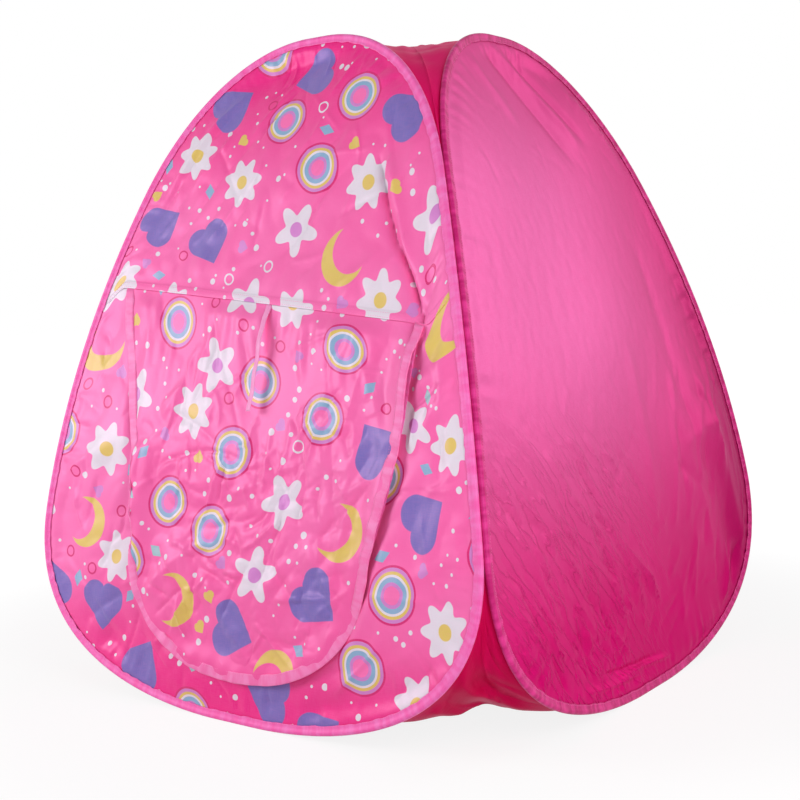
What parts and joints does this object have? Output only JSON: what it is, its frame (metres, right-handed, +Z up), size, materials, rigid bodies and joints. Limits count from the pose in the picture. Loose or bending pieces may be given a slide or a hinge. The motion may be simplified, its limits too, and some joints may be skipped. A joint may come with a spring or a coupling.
{
  "type": "pop-up play tent",
  "caption": "Child's pop-up play tent: sprung wire hoops in taped cloth walls bowed in to the top, corner gussets, cloth roof and a door flap over a round-bottomed doorway.",
  "frame": {"origin": "on the floor under the middle of the tent", "axes": "+Z up, -Y out of the front wall with the doorway, +X out of the right wall"},
  "size_m": [0.7994, 0.8003, 0.9008],
  "materials": {
    "printed_cloth": "smooth printed polyester, bright pink",
    "satin_cloth": "satin polyester, deep pink",
    "corner_cloth": "thin polyester, crimson",
    "binding_tape": "woven binding tape, pink",
    "ribbon": "satin ribbon, light pink",
    "spring_steel": "round spring steel wire",
    "ferrule_metal": "crimped steel tube"
  },
  "bodies": {
    "front_wall": {"wire_hoop_front": "spring_steel", "wire_ferrule_front": "ferrule_metal", "hoop_sleeve_front": "binding_tape", "front_cloth_upper": "printed_cloth", "front_cloth_lower": "printed_cloth", "doorway_binding": "binding_tape", "corner_gusset_front_right": "corner_cloth", "corner_gusset_left_front": "corner_cloth", "roof_cloth": "corner_cloth"},
    "right_wall": {"wire_hoop_right": "spring_steel", "wire_ferrule_right": "ferrule_metal", "hoop_sleeve_right": "binding_tape", "wall_cloth_right": "satin_cloth", "corner_gusset_right_back": "corner_cloth"},
    "back_wall": {"wire_hoop_back": "spring_steel", "wire_ferrule_back": "ferrule_metal", "hoop_sleeve_back": "binding_tape", "wall_cloth_back": "satin_cloth", "corner_gusset_back_left": "corner_cloth"},
    "left_wall": {"wire_hoop_left": "spring_steel", "wire_ferrule_left": "ferrule_metal", "hoop_sleeve_left": "binding_tape", "wall_cloth_left": "satin_cloth"},
    "door_flap": {"door_flap_cloth": "printed_cloth", "door_flap_binding": "binding_tape"},
    "outer_tie": {"tie_ribbon_outer": "ribbon"},
    "inner_tie": {"tie_ribbon_inner": "ribbon"}
  },
  "joints": [
    {"name": "fold_front_right", "type": "hinge", "parent": "front_wall", "child": "right_wall", "pos_m": [0.4566, -0.4566, 0], "axis": [0.2402, -0.2402, -0.9405], "range_deg": [0, 70], "stiffness_Nm_per_rad": 5, "deforming": ["corner_gusset_front_right", "roof_cloth"]},
    {"name": "fold_left_front", "type": "hinge", "parent": "front_wall", "child": "left_wall", "pos_m": [-0.39629, -0.39629, 0], "axis": [-0.2115, -0.2115, -0.9542], "range_deg": [0, 70], "stiffness_Nm_per_rad": 2, "deforming": ["corner_gusset_left_front", "corner_gusset_back_left"]},
    {"name": "fold_right_back", "type": "hinge", "parent": "right_wall", "child": "back_wall", "pos_m": [0.39629, 0.39629, 0], "axis": [-0.2115, -0.2115, 0.9542], "range_deg": [0, 70], "stiffness_Nm_per_rad": 2, "deforming": ["corner_gusset_right_back"]},
    {"name": "flap_lift", "type": "hinge", "parent": "front_wall", "child": "door_flap", "pos_m": [0, -0.3205, 0.54087], "axis": [-1, 0, 0], "range_deg": [0, 130]},
    {"name": "outer_tie_swing", "type": "hinge", "parent": "door_flap", "child": "outer_tie", "pos_m": [0.01, -0.32146, 0.54114], "axis": [-1, 0, 0], "range_deg": [0, 45]},
    {"name": "inner_tie_swing", "type": "hinge", "parent": "front_wall", "child": "inner_tie", "pos_m": [0.01, -0.31685, 0.5398], "axis": [1, 0, 0], "range_deg": [0, 60]}
  ],
  "couplings": [
    {"joint": "fold_left_front", "follows": "fold_front_right", "ratio": 1},
    {"joint": "fold_right_back", "follows": "fold_front_right", "ratio": 1}
  ]
}
